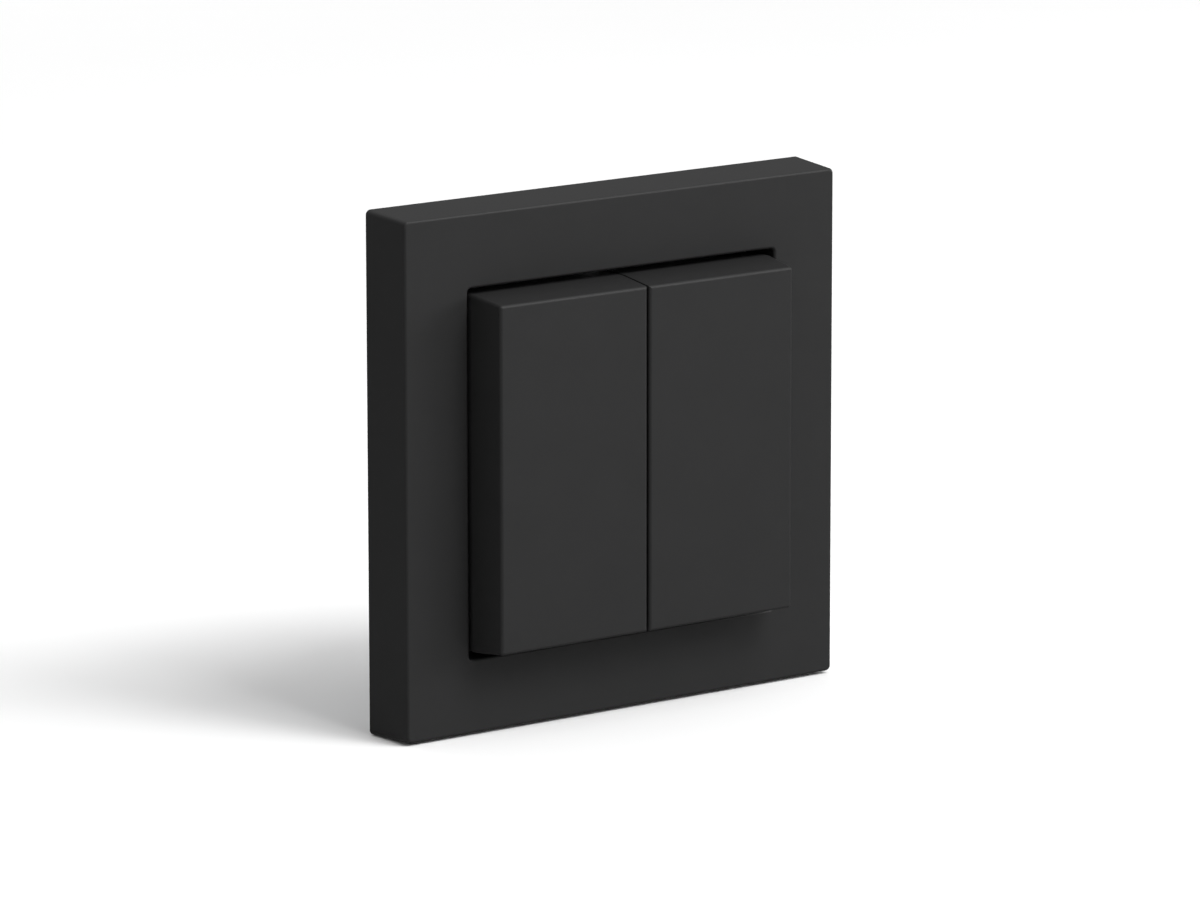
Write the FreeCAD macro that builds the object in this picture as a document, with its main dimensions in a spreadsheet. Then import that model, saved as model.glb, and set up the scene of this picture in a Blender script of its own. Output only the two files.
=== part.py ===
import FreeCAD, Part
import os
import re
from FreeCAD import Placement, Rotation, Vector
import Sketcher

# Flush-mounted rocker wall switch: two spring-centred rockers side by side in a square
# cover frame, on a screw-fixed support plate that carries the contact insert in the wall box.
# X runs to the right when the switch is faced, Z is up, and the room is on the -Y side.
# The wall's surface is the plane Y = 0, and the origin is the centre of the support plate's back.
# Millimetres throughout; everything with a positive Y lies inside the wall box.

SIZES = {
    # how far a cutting tool runs past a face, and how far fused pieces run into each other
    "overshoot": 1,
    "overlap": 0.5,
    # cover frame
    "frame_side": 80,
    "frame_depth": 9.5,
    "frame_draft": 2.95,
    "frame_wall": 2.2,
    "frame_plate": 2.0,
    "frame_corner": 0.8,
    "frame_edge": 0.45,
    "opening_half": 28.25,
    "opening_corner": 0.6,
    "opening_edge": 0.45,
    "collar_wall": 1.2,
    "collar_back": 2.2,
    # rocker caps: the outer walls flare from the front face to the frame's front, then run straight
    "front": 16,
    "pivot_depth": 9.5,
    "slit_half": 0.18,
    "cap_front_x": 26.88,
    "cap_side_x": 27.6,
    "cap_front_z": 26.5,
    "cap_side_z": 27.25,
    "cap_back": 5.0,
    "cap_wall": 1.5,
    "cap_plate": 2.0,
    "cap_edge": 0.5,
    "cap_notch_half": 4.5,
    "cap_notch_depth": 13.0,
    "cap_leg_inner": 14.1,
    "cap_leg_outer": 15.6,
    "cap_leg_back": 10.9,
    "cap_hook_inner": 13.2,
    "cap_hook_front": 11.7,
    # rocker cradles
    "lever_x": 9.5,
    "lever_z": 11.5,
    "cradle_in": 2.0,
    "cradle_out": 19.4,
    "cradle_front": 13.9,
    "cradle_back": 12.0,
    "cradle_half": 14.0,
    "cradle_web": 1.6,
    "cradle_web_offset": 4.5,
    "cradle_web_past": 1,
    "cradle_web_root": 0.4,
    "cradle_nose_y": 7.8,
    "nose_radius": 1.5,
    "hub_radius": 2.6,
    "shaft_radius": 1.25,
    "running_gap": 0.05,
    "shaft_half": 22.6,
    "post_in": 19.8,
    "post_centre_half": 1.5,
    "post_half": 2.4,
    "post_cap": 2.2,
    # support plate
    "plate_half": 35.5,
    "plate_gauge": 1.0,
    "plate_corner": 4.0,
    "window_half": 19.0,
    "window_chamfer": 8.0,
    "slot_place": 30.0,
    "slot_radius": 1.8,
    "slot_length": 4.6,
    # contact insert
    "cover_half": 21.5,
    "cover_front": 3.0,
    "guide_radius": 2.9,
    "guide_end": 2.5,
    "base_half": 21.0,
    "base_corner": 4.0,
    "base_wall": 1.5,
    "base_depth": 20.8,
    "floor_front": 8.8,
    "floor_back": 12.5,
    "rib_half": 0.75,
    "boss_place": 17.0,
    "boss_radius": 2.8,
    "screw_radius": 1.1,
    "screw_head": 2.0,
    "screw_head_height": 1.3,
    "screw_end": 7.5,
    "screw_gap": 0.2,
    "cross_half": 1.3,
    "cross_bar_half": 0.3,
    "cross_depth": 0.6,
    "pocket_radius": 2.7,
    "pocket_end": 11.5,
    "lid_front": 19.2,
    "lid_gauge": 1.5,
    "lid_gap": 0.1,
    "lid_post_z": 15.5,
    "lid_post_radius": 2.6,
    "lid_screw_end": 14,
    "lid_hole_end": 13.5,
    # plungers, contact bridges and springs
    "plunger_head": 2.6,
    "plunger_head_front": 6.2,
    "plunger_head_back": 5.2,
    "plunger_rod": 1.5,
    "collar_radius": 2.3,
    "collar_front": 3.9,
    "bridge_front": 4.9,
    "bridge_back": 5.7,
    "bridge_reach": 6.2,
    "bridge_half": 1.8,
    "spigot_radius": 1.1,
    "spigot_end": 6.9,
    "tip_offset": 4.4,
    "tip_radius": 1.4,
    "tip_height": 0.6,
    "fixed_tip_height": 0.8,
    "spring_radius": 1.95,
    "spring_wire": 0.45,
    "spring_gap": 0.05,
    # current strips and terminals
    "strip_gauge": 0.8,
    "strip_end": 17.6,
    "strip_margin": 0.2,
    "strip_gap": 0.1,
    "tab_x": 17.8,
    "common_tab_x": 11.8,
    "common_arm": 1.4,
    "clamp_in": 12.2,
    "clamp_out": 17.4,
    "clamp_half": 3.0,
    "clamp_front": 13.0,
    "clamp_back": 18.6,
    "wire_x": 14.8,
    "wire_radius": 1.5,
    "entry_radius": 1.7,
    "screw_axis": 15.8,
    "clamp_screw": 1.25,
    "clamp_screw_head": 2.1,
    "clamp_head_height": 1.8,
    "access_radius": 2.4,
    "access_reach": 3,
    "groove_half": 0.3,
    "groove_depth": 0.7,
    # spring clips that hold the cover frame
    "clip_gauge": 0.4,
    "clip_half": 4.0,
    "clip_place": 14.0,
    "clip_gap": 0.1,
    "clip_top": 6.8,
    "clip_foot": 3.6,
}

doc = FreeCAD.newDocument("rocker_wall_switch")
sheet = doc.addObject("Spreadsheet::Sheet", "sizes")
for row, (alias, value) in enumerate(SIZES.items(), start=1):
    sheet.set(f"A{row}", alias)
    sheet.set(f"B{row}", str(value))
    sheet.setAlias(f"B{row}", alias)
doc.recompute()

AXES = {"X": Vector(1, 0, 0), "Y": Vector(0, 1, 0), "Z": Vector(0, 0, 1)}
ALONG_AXIS = {
    "X": Rotation(Vector(0, 1, 0), 90),
    "Y": Rotation(Vector(1, 0, 0), -90),
    "Z": Rotation(),
}
TOLERANCE = 1e-3
# a sketch refuses a distance of exactly nought before its expression is set
LEAST = 1e-9
sub_parts = []


def formula(text):
    """An expression in the sheet's aliases, such as "front - cap_plate", as FreeCAD reads it."""
    return re.sub(r"[a-z]\w*", lambda word: "sizes." + word.group(), str(text))


def value(text):
    """The number that such an expression has now, for sketch outlines and edge picking."""
    total = re.sub(r"[a-z]\w*", lambda word: str(getattr(sheet, word.group())), str(text))
    return FreeCAD.Units.Quantity(total).Value


def bind(item, **expressions):
    for name, text in expressions.items():
        item.setExpression(name.replace("__", "."), formula(text))


def sub_part(item, label):
    """Marks an object of the document as one separate piece of the switch."""
    item.Label = label
    sub_parts.append(item)
    return item


def block(name, x, y, z):
    """A box between two expressions on each axis."""
    box = doc.addObject("Part::Box", name)
    for size, place, (low, high) in (("Length", "x", x), ("Width", "y", y), ("Height", "z", z)):
        bind(box, **{size: f"({high}) - ({low})", "Placement__Base__" + place: low})
    return box


def rod(name, axis, radius, span, centre):
    """A round bar along one axis; centre holds the other two coordinates in X, Y, Z order."""
    bar = doc.addObject("Part::Cylinder", name)
    bar.Placement = Placement(Vector(), ALONG_AXIS[axis])
    low, high = span
    bind(bar, Radius=radius, Height=f"({high}) - ({low})")
    places = dict(zip([other for other in "XYZ" if other != axis], centre))
    places[axis] = low
    for letter, place in places.items():
        bind(bar, **{"Placement__Base__" + letter.lower(): place})
    return bar


def fuse(name, *pieces):
    joined = doc.addObject("Part::MultiFuse", name)
    joined.Shapes = list(pieces)
    joined.Refine = True
    return joined


def cut(name, base, *tools):
    trimmed = doc.addObject("Part::Cut", name)
    trimmed.Base = base
    trimmed.Tool = tools[0] if len(tools) == 1 else fuse(name + "_tools", *tools)
    return trimmed


def group(name, *pieces):
    """Identical pieces that share one node and stay separate solids."""
    together = doc.addObject("Part::Compound", name)
    together.Links = list(pieces)
    return together


def mirror(name, source, axis):
    copy = doc.addObject("Part::Mirroring", name)
    copy.Source = source
    copy.Normal = AXES[axis]
    return copy


def quarters(name, source):
    """The source, which lies at +X and +Z, and its copies in the other three quarters."""
    left = mirror(name + "_left", source, "X")
    return {
        ("right", "upper"): source,
        ("left", "upper"): left,
        ("right", "lower"): mirror(name + "_right_lower", source, "Z"),
        ("left", "lower"): mirror(name + "_left_lower", left, "Z"),
    }


def new_body(name):
    body = doc.addObject("PartDesign::Body", name)
    planes = {feature.Role: feature for feature in body.Origin.OriginFeatures}
    return body, planes


def sketch_on(body, plane, name, wires, offset=None):
    """A sketch of closed outlines. Each outline is a list of corners (u, v); a corner (u, v, cu, cv)
    is reached by an arc about (cu, cv) from the corner before it. A half circle turns anticlockwise."""
    sketch = body.newObject("Sketcher::SketchObject", name)
    sketch.AttachmentSupport = [(plane, "")]
    sketch.MapMode = "FlatFace"
    if offset is not None:
        sketch.setExpression("AttachmentOffset.Base.z", formula(offset))
    for corners in wires:
        add_outline(sketch, corners)
    return sketch


def hold_point(sketch, geometry, point, across, up):
    """Ties one end of a line to the sheet, so the outline follows its sizes."""
    for kind, text in (("DistanceX", across), ("DistanceY", up)):
        held = Sketcher.Constraint(kind, -1, 1, geometry, point, value(text) or LEAST)
        index = sketch.addConstraint(held)
        sketch.setExpression(f"Constraints[{index}]", formula(text))


def add_outline(sketch, corners):
    first = sketch.GeometryCount
    for number, corner in enumerate(corners):
        before = corners[number - 1]
        start = Vector(value(before[0]), value(before[1]), 0)
        end = Vector(value(corner[0]), value(corner[1]), 0)
        if len(corner) == 2:
            sketch.addGeometry(Part.LineSegment(start, end), False)
            continue
        centre = Vector(value(corner[2]), value(corner[3]), 0)
        middle = (start + end) * 0.5 - centre
        if middle.Length < TOLERANCE:
            middle = Vector(centre.y - start.y, start.x - centre.x, 0)
        middle = centre + middle.normalize() * (end - centre).Length
        sketch.addGeometry(Part.Arc(start, middle, end), False)
    for number, corner in enumerate(corners):
        if len(corner) == 2:
            hold_point(sketch, first + number, 2, corner[0], corner[1])
        if len(corners[(number + 1) % len(corners)]) == 2:
            following = first + (number + 1) % len(corners)
            hold_point(sketch, following, 1, corner[0], corner[1])


def square(half, rounding=None):
    """The corners of a square about the origin, with arcs at its corners when a rounding is given."""
    if rounding is None:
        return [(f"-({half})", f"-({half})"), (half, f"-({half})"), (half, half), (f"-({half})", half)]
    flat = f"({half}) - ({rounding})"
    corners = []
    for across, up in ((1, -1), (1, 1), (-1, 1), (-1, -1)):
        side = (f"{across} * ({half})", f"{up} * ({flat})")
        top = (f"{across} * ({flat})", f"{up} * ({half})")
        first, last = (top, side) if across == -up else (side, top)
        centre = (f"{across} * ({flat})", f"{up} * ({flat})")
        corners.append(first)
        corners.append(last + centre)
    return corners


def pad(body, sketch, name, length, reverse=False, taper=None):
    feature = body.newObject("PartDesign::Pad", name)
    feature.Profile = sketch
    feature.Reversed = reverse
    bind(feature, Length=length)
    if taper is not None:
        bind(feature, TaperAngle=taper)
    doc.recompute()
    return feature


def pocket(body, sketch, name, length, reverse=False):
    """A pocket that must take material away."""
    before = body.Tip.Shape.Volume
    feature = body.newObject("PartDesign::Pocket", name)
    feature.Profile = sketch
    feature.Reversed = reverse
    bind(feature, Length=length)
    doc.recompute()
    if feature.Shape.Volume > before - TOLERANCE:
        raise RuntimeError(f"{name} removes nothing")
    return feature


def edges_where(shape, test):
    return [f"Edge{number}" for number, edge in enumerate(shape.Edges, start=1) if test(edge)]


def on_front(edge, depth):
    return all(abs(vertex.Point.y + depth) < TOLERANCE for vertex in edge.Vertexes)


def fillet(body, base, name, radius, test):
    feature = body.newObject("PartDesign::Fillet", name)
    feature.Base = (base, edges_where(base.Shape, test))
    bind(feature, Radius=radius)
    doc.recompute()
    return feature


# ---------------------------------------------------------------- cover frame
def cover_frame():
    body, planes = new_body("CoverFrame")
    wall = planes["XZ_Plane"]
    outline = sketch_on(body, wall, "FrameOutline", [square("frame_side / 2")])
    shell = pad(body, outline, "FramePad", "frame_depth", taper="-frame_draft")
    depth = value("frame_depth")
    half = value("opening_half") + TOLERANCE

    def side_corner(edge):
        return abs(edge.BoundBox.YLength - depth) < TOLERANCE

    def opening_rim(edge):
        limits = edge.BoundBox
        across = max(abs(limits.XMax), abs(limits.XMin))
        up = max(abs(limits.ZMax), abs(limits.ZMin))
        return on_front(edge, depth) and across < half and up < half

    corners = fillet(body, shell, "FrameCorners", "frame_corner", side_corner)
    fillet(body, corners, "FrameEdge", "frame_edge", lambda edge: on_front(edge, depth))
    inner = "frame_side / 2 - frame_wall"
    collar = "opening_half + collar_wall"
    back = sketch_on(body, wall, "BackHollow", [square(inner)])
    pocket(body, back, "BackPocket", "collar_back", reverse=True)
    ring = sketch_on(body, wall, "RingHollow", [square(inner), square(collar)])
    pocket(body, ring, "RingPocket", "frame_depth - frame_plate", reverse=True)
    hole = sketch_on(body, wall, "OpeningOutline", [square("opening_half", "opening_corner")])
    opening = pocket(body, hole, "Opening", "frame_depth + overshoot", reverse=True)
    fillet(body, opening, "OpeningEdge", "opening_edge", opening_rim)
    return sub_part(body, "cover_frame")


# ---------------------------------------------------------------- rockers
def rocker_cap():
    """The right-hand cap: a hollow shell that flares towards the wall on its three outer sides."""
    body, planes = new_body("RockerCap")
    side, level = planes["YZ_Plane"], planes["XY_Plane"]

    def end_profile(front, back, inset):
        """The side view, seen along X, set in from the outer walls by inset."""
        upper = [
            (f"-({front})", f"cap_front_z - ({inset})"),
            ("-pivot_depth", f"cap_side_z - ({inset})"),
            (f"-({back})", f"cap_side_z - ({inset})"),
        ]
        lower = [(across, f"-({up})") for across, up in reversed(upper)]
        return upper + lower

    outline = sketch_on(body, side, "CapOutline", [end_profile("front", "cap_back", "0")], "slit_half")
    solid = pad(body, outline, "CapPad", "cap_side_x - slit_half")
    flank = [
        ("cap_side_x", "-pivot_depth"),
        ("cap_side_x + overshoot", "-pivot_depth"),
        ("cap_side_x + overshoot", "-front - overshoot"),
        ("cap_front_x - (cap_side_x - cap_front_x) / (front - pivot_depth)", "-front - overshoot"),
    ]
    draft = sketch_on(body, level, "CapDraft", [flank])
    tapered = pocket(body, draft, "CapFlank", "cap_side_z * 3")
    tapered.Midplane = True
    doc.recompute()
    depth = value("front")
    flank_least = value("pivot_depth - cap_back") - TOLERANCE
    outer = value("cap_front_x") - TOLERANCE

    def outer_corner(edge):
        """The front edges, and the corners between the flank and the two ends."""
        limits = edge.BoundBox
        return on_front(edge, depth) or (limits.YLength > flank_least and limits.XMin > outer)

    fillet(body, tapered, "CapEdges", "cap_edge", outer_corner)
    inner = end_profile("front - cap_plate", "cap_back - overshoot", "cap_wall")
    hollow = sketch_on(body, side, "CapInside", [inner], "slit_half + cap_wall")
    pocket(body, hollow, "CapHollow", "cap_front_x - slit_half - cap_wall * 2", reverse=True)
    notch = [
        ("0 - cap_notch_depth", "-cap_notch_half"),
        ("0", "-cap_notch_half"),
        ("0", "cap_notch_half"),
        ("0 - cap_notch_depth", "cap_notch_half"),
    ]
    gap = sketch_on(body, side, "CapNotch", [notch])
    pocket(body, gap, "CapNotchCut", "slit_half + cap_wall + overlap", reverse=True)
    for sign, word in ((1, "Upper"), (-1, "Lower")):
        leg = [
            ("cap_plate - front - overlap", f"{sign} * cap_leg_inner"),
            ("cap_plate - front - overlap", f"{sign} * cap_leg_outer"),
            ("-cap_leg_back", f"{sign} * cap_leg_outer"),
            ("-cap_leg_back", f"{sign} * cap_hook_inner"),
            ("-cap_hook_front", f"{sign} * cap_hook_inner"),
            ("-cap_hook_front", f"{sign} * cap_leg_inner"),
        ]
        profile = sketch_on(body, side, f"{word}Leg", [leg], "lever_x - cradle_web_offset / 2")
        pad(body, profile, f"{word}LegPad", "cradle_web_offset")
    return body


def rocker_cradle():
    """The right-hand cradle: a plate under the cap, a hub on the shaft and a nose over each plunger."""
    across = ("cradle_in", "cradle_out")
    plate = block("CradlePlate", across, ("-cradle_front", "-cradle_back"), ("-cradle_half", "cradle_half"))
    hub = rod("CradleHub", "X", "hub_radius", across, ("-pivot_depth", "0"))
    pieces = [plate, hub]
    for side in (-1, 1):
        middle = f"lever_x + {side} * cradle_web_offset"
        pieces.append(
            block(
                "CradleWeb",
                (f"{middle} - cradle_web / 2", f"{middle} + cradle_web / 2"),
                ("-cradle_back - cradle_web_root", "-cradle_nose_y"),
                ("-lever_z - cradle_web_past", "lever_z + cradle_web_past"),
            )
        )
    for end in (-1, 1):
        reach = "cradle_web_offset + cradle_web / 2"
        span = (f"lever_x - ({reach})", f"lever_x + {reach}")
        pieces.append(rod("CradleNose", "X", "nose_radius", span, ("-cradle_nose_y", f"{end} * lever_z")))
    reach = ("cradle_in - overshoot", "cradle_out + overshoot")
    bore = rod("CradleBore", "X", "shaft_radius + running_gap", reach, ("-pivot_depth", "0"))
    return cut("RockerCradle", fuse("CradleSolid", *pieces), bore)


# ---------------------------------------------------------------- support plate
def mounting_plate():
    body, planes = new_body("MountingPlate")
    wall = planes["XZ_Plane"]
    flat = "window_half - window_chamfer"
    window = []
    for across, up in ((1, -1), (1, 1), (-1, 1), (-1, -1)):
        side = (f"{across} * window_half", f"{up} * ({flat})")
        top = (f"{across} * ({flat})", f"{up} * window_half")
        window += [top, side] if across == -up else [side, top]
    outline = sketch_on(body, wall, "PlateOutline", [square("plate_half", "plate_corner"), window])
    pad(body, outline, "PlatePad", "plate_gauge")
    straight = "slot_length / 2 - slot_radius"
    for across, up in ((1, 0), (0, 1), (-1, 0), (0, -1)):
        near, far = f"slot_place - ({straight})", f"slot_place + {straight}"
        corners = [
            slot_point(across, up, near, "-slot_radius"),
            slot_point(across, up, far, "-slot_radius"),
            slot_point(across, up, far, "slot_radius") + slot_point(across, up, far, "0"),
            slot_point(across, up, near, "slot_radius"),
        ]
        corners[0] = corners[0] + slot_point(across, up, near, "0")
        slot = sketch_on(body, wall, "Slot", [corners])
        pocket(body, slot, "SlotCut", "plate_gauge * 2", reverse=True)
    for across, up in ((1, 1), (-1, 1), (1, -1), (-1, -1)):
        drill = body.newObject("Sketcher::SketchObject", "ScrewHole")
        drill.AttachmentSupport = [(wall, "")]
        drill.MapMode = "FlatFace"
        place = value("boss_place")
        centre = Vector(across * place, up * place, 0)
        drill.addGeometry(Part.Circle(centre, Vector(0, 0, 1), value("screw_radius") + 0.2), False)
        drill.addConstraint(Sketcher.Constraint("Radius", 0, value("screw_radius") + 0.2))
        drill.setExpression("Constraints[0]", formula("screw_radius + screw_gap"))
        hold_point(drill, 0, 3, f"{across} * boss_place", f"{up} * boss_place")
        pocket(body, drill, "ScrewHoleCut", "plate_gauge * 2", reverse=True)
    return sub_part(body, "mounting_plate")


def slot_point(across, up, reach, aside):
    """A point of a slot that runs outwards along (across, up), aside to its left."""
    return (f"{across} * ({reach}) - {up} * ({aside})", f"{up} * ({reach}) + {across} * ({aside})")


def frame_clips():
    """Four bent spring strips beside the frame's inner collar, one on each side of the opening."""
    inner = "opening_half + collar_wall + clip_gap"
    leg_span = (inner, f"{inner} + clip_gauge")
    foot_span = (inner, f"{inner} + clip_foot")
    across = ("clip_place - clip_half", "clip_place + clip_half")
    upright = ("-clip_top", "-plate_gauge")
    foot = ("-plate_gauge - clip_gauge", "-plate_gauge")
    leg = block("ClipLeg", leg_span, upright, across)
    right = fuse("ClipRight", leg, block("ClipFoot", foot_span, foot, across))
    aside = ("-clip_place - clip_half", "clip_half - clip_place")
    leg = block("ClipLeg", aside, upright, leg_span)
    top = fuse("ClipTop", leg, block("ClipFoot", aside, foot, foot_span))
    left = mirror("ClipLeft", mirror("ClipRightLow", right, "Z"), "X")
    low = mirror("ClipLow", mirror("ClipTopRight", top, "X"), "Z")
    return sub_part(group("FrameClips", right, top, left, low), "frame_clips")


# ---------------------------------------------------------------- contact insert
def insert_cover():
    """The insert's front plate, with three bearing posts for the shaft and four plunger guides."""
    body, planes = new_body("InsertCover")
    wall = planes["XZ_Plane"]
    outline = sketch_on(body, wall, "CoverOutline", [square("cover_half", "base_corner")], "plate_gauge")
    pad(body, outline, "CoverPad", "cover_front - plate_gauge")
    body.Label = "InsertCoverPlate"
    pieces = [body]
    top = "-pivot_depth - post_cap"
    root = "-plate_gauge - overlap"
    centre_post = ("-post_centre_half", "post_centre_half")
    for span in (("-shaft_half", "-post_in"), centre_post, ("post_in", "shaft_half")):
        pieces.append(block("BearingPost", span, (top, root), ("-post_half", "post_half")))
    for side in (-1, 1):
        for end in (-1, 1):
            centre = (f"{side} * lever_x", f"{end} * lever_z")
            pieces.append(rod("PlungerGuide", "Y", "guide_radius", (root, "guide_end"), centre))
    across = ("-shaft_half - overshoot", "shaft_half + overshoot")
    tools = [rod("ShaftHole", "X", "shaft_radius", across, ("-pivot_depth", "0"))]
    through = ("-cover_front - overshoot", "0")
    for side in (-1, 1):
        for end in (-1, 1):
            centre = (f"{side} * lever_x", f"{end} * lever_z")
            reach = ("-cover_front - overshoot", "guide_end + overshoot")
            tools.append(rod("GuideBore", "Y", "plunger_rod + running_gap", reach, centre))
            corner = (f"{side} * boss_place", f"{end} * boss_place")
            tools.append(rod("CoverScrewHole", "Y", "screw_radius + screw_gap", through, corner))
    return sub_part(cut("InsertCoverSolid", fuse("InsertCoverRaw", *pieces), *tools), "insert_cover")


def insert_base():
    """The housing: a front chamber for each rocker's contacts and a rear chamber for the terminals."""
    body, planes = new_body("InsertBase")
    wall = planes["XZ_Plane"]
    outline = sketch_on(body, wall, "BaseOutline", [square("base_half", "base_corner")])
    pad(body, outline, "BasePad", "base_depth", reverse=True)
    body.Label = "InsertBaseBlock"
    inner = "base_half - base_wall"
    limits = (f"-({inner})", inner)
    front_hollow = block("FrontChamber", limits, ("-overshoot", "floor_front"), limits)
    rear_hollow = block("RearChamber", limits, ("floor_back", "base_depth + overshoot"), limits)
    shell = cut("BaseShell", body, front_hollow, rear_hollow)
    rib = block("BaseRib", ("-rib_half", "rib_half"), ("0", "floor_front + overlap"), limits)
    pieces = [shell, rib]
    for side in (-1, 1):
        for end in (-1, 1):
            corner = (f"{side} * boss_place", f"{end} * boss_place")
            pieces.append(rod("ScrewBoss", "Y", "boss_radius", ("0", "floor_front + overlap"), corner))
    for end in (-1, 1):
        centre = ("0", f"{end} * lid_post_z")
        pieces.append(rod("LidPost", "Y", "lid_post_radius", ("floor_back - overlap", "lid_front"), centre))
    tools = []
    pocket_span = ("floor_front - overshoot", "pocket_end")
    boss_span = ("-overshoot", "screw_end + overlap")
    for side in (-1, 1):
        for end in (-1, 1):
            lever = (f"{side} * lever_x", f"{end} * lever_z")
            tools.append(rod("SpringPocket", "Y", "pocket_radius", pocket_span, lever))
            corner = (f"{side} * boss_place", f"{end} * boss_place")
            tools.append(rod("BossHole", "Y", "screw_radius", boss_span, corner))
            tools.append(tab_slot(f"{side} * tab_x", f"{end} * lever_z"))
            centre = (f"{side} * wire_x", "screw_axis")
            reach = (f"{end} * base_half - access_reach", f"{end} * base_half + access_reach")
            tools.append(rod("DriverHole", "Z", "access_radius", reach, centre))
        tools.append(tab_slot(f"{side} * common_tab_x", "0"))
        reach = (f"{side} * base_half - access_reach", f"{side} * base_half + access_reach")
        tools.append(rod("SideDriverHole", "X", "access_radius", reach, ("screw_axis", "0")))
    depth = ("lid_hole_end", "lid_front + overshoot")
    for end in (-1, 1):
        tools.append(rod("LidScrewHole", "Y", "screw_radius", depth, ("0", f"{end} * lid_post_z")))
    return sub_part(cut("InsertBaseSolid", fuse("InsertBaseRaw", *pieces), *tools), "insert_base")


def tab_slot(x, z):
    """The slit in the housing's floor that a strip's tab passes through."""
    reach = "strip_gauge / 2 + strip_gap"
    wide = "bridge_half + strip_gap"
    floor = ("floor_front - overshoot", "floor_back + overshoot")
    sides = (f"{x} - ({reach})", f"{x} + {reach}")
    return block("TabSlot", sides, floor, (f"{z} - ({wide})", f"{z} + {wide}"))


def terminal_lid():
    """The rear lid with its six wire entries."""
    half = "base_half - base_wall - lid_gap"
    limits = (f"-({half})", half)
    plate = block("LidPlate", limits, ("lid_front", "lid_front + lid_gauge"), limits)
    tools = []
    through = ("lid_front - overshoot", "lid_front + lid_gauge + overshoot")
    for side in (-1, 1):
        for height in ("lever_z", "0", "-lever_z"):
            tools.append(rod("WireEntry", "Y", "entry_radius", through, (f"{side} * wire_x", height)))
    for end in (-1, 1):
        centre = ("0", f"{end} * lid_post_z")
        tools.append(rod("LidHole", "Y", "screw_radius + screw_gap", through, centre))
    return sub_part(cut("TerminalLid", plate, *tools), "terminal_lid")


def screw(name, centre, head_face, end, way):
    """A pan-head screw along Y. Its head rises from head_face against the way the shank runs."""
    head_far = f"{head_face} - {way} * screw_head_height"
    shank = (head_face, end) if way > 0 else (end, head_face)
    head = (head_far, head_face) if way > 0 else (head_face, head_far)
    shank_rod = rod(name + "Shank", "Y", "screw_radius", shank, centre)
    solid = fuse(name, shank_rod, rod(name + "Head", "Y", "screw_head", head, centre))
    bottom = f"{head_far} + {way} * cross_depth"
    depth = (head_far, bottom) if way > 0 else (bottom, head_far)
    x, z = centre
    bars = []
    for wide, tall in (("cross_half", "cross_bar_half"), ("cross_bar_half", "cross_half")):
        across = (f"{x} - {wide}", f"{x} + {wide}")
        bars.append(block(name + "Cross", across, depth, (f"{z} - {tall}", f"{z} + {tall}")))
    return cut(name + "Solid", solid, *bars)


def insert_screws():
    screws = []
    for side in (-1, 1):
        for end in (-1, 1):
            corner = (f"{side} * boss_place", f"{end} * boss_place")
            screws.append(screw("InsertScrew", corner, "-cover_front", "screw_end", 1))
    return sub_part(group("InsertScrews", *screws), "insert_screws")


def lid_screws():
    screws = []
    for end in (-1, 1):
        centre = ("0", f"{end} * lid_post_z")
        screws.append(screw("LidScrew", centre, "lid_front + lid_gauge", "lid_screw_end", -1))
    return sub_part(group("LidScrews", *screws), "lid_screws")


# ---------------------------------------------------------------- plungers, bridges and springs
def plunger():
    centre = ("lever_x", "lever_z")
    return fuse(
        "Plunger",
        rod("PlungerHead", "Y", "plunger_head", ("-plunger_head_front", "-plunger_head_back"), centre),
        rod("PlungerRod", "Y", "plunger_rod", ("-plunger_head_back", "collar_front"), centre),
        rod("PlungerCollar", "Y", "collar_radius", ("collar_front", "bridge_front"), centre),
        rod("PlungerSpigot", "Y", "spigot_radius", ("bridge_front", "spigot_end"), centre),
    )


def contact_bridge():
    x = ("lever_x - bridge_reach", "lever_x + bridge_reach")
    z = ("lever_z - bridge_half", "lever_z + bridge_half")
    plate = block("BridgePlate", x, ("bridge_front", "bridge_back"), z)
    through = ("bridge_front - overshoot", "bridge_back + overshoot")
    hole = rod("BridgeHole", "Y", "spigot_radius", through, ("lever_x", "lever_z"))
    return cut("ContactBridge", plate, hole)


def tips(name, face, height):
    """A pair of silver tips on both sides of the plunger's axis."""
    discs = []
    for side in (-1, 1):
        centre = (f"lever_x + {side} * tip_offset", "lever_z")
        discs.append(rod("Tip", "Y", "tip_radius", (face, f"{face} + {height}"), centre))
    return group(name, *discs)


def spring():
    """The sleeve that a compression spring fills, between the bridge and the pocket's floor."""
    span = ("bridge_back + spring_gap", "pocket_end - spring_gap")
    centre = ("lever_x", "lever_z")
    outer = rod("SpringOutside", "Y", "spring_radius + spring_wire / 2", span, centre)
    inner = rod("SpringInside", "Y", "spring_radius - spring_wire / 2", span, centre)
    return cut("Spring", outer, inner)


# ---------------------------------------------------------------- current strips and terminals
def output_strip():
    """The strip under the outer tip, bent back through the floor into its clamp."""
    z = ("lever_z - bridge_half", "lever_z + bridge_half")
    tab = ("tab_x - strip_gauge / 2", "tab_x + strip_gauge / 2")
    face = ("floor_front - strip_gauge", "floor_front")
    inner = "lever_x + tip_offset - tip_radius - strip_margin"
    strip = block("OutputStripFace", (inner, tab[1]), face, z)
    return fuse("OutputStrip", strip, block("OutputTab", tab, (face[0], "strip_end"), z))


def common_strip():
    """The strip under both inner tips of one rocker, with an arm to the common clamp."""
    x = "lever_x - tip_offset"
    face = ("floor_front - strip_gauge", "floor_front")
    length = ("-lever_z - bridge_half", "lever_z + bridge_half")
    bar = block("CommonBar", (f"{x} - common_arm", f"{x} + common_arm"), face, length)
    tab = ("common_tab_x - strip_gauge / 2", "common_tab_x + strip_gauge / 2")
    z = ("-bridge_half", "bridge_half")
    arm = block("CommonArm", (x, tab[1]), face, z)
    return fuse("CommonStrip", bar, arm, block("CommonTab", tab, (face[0], "strip_end"), z))


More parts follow.
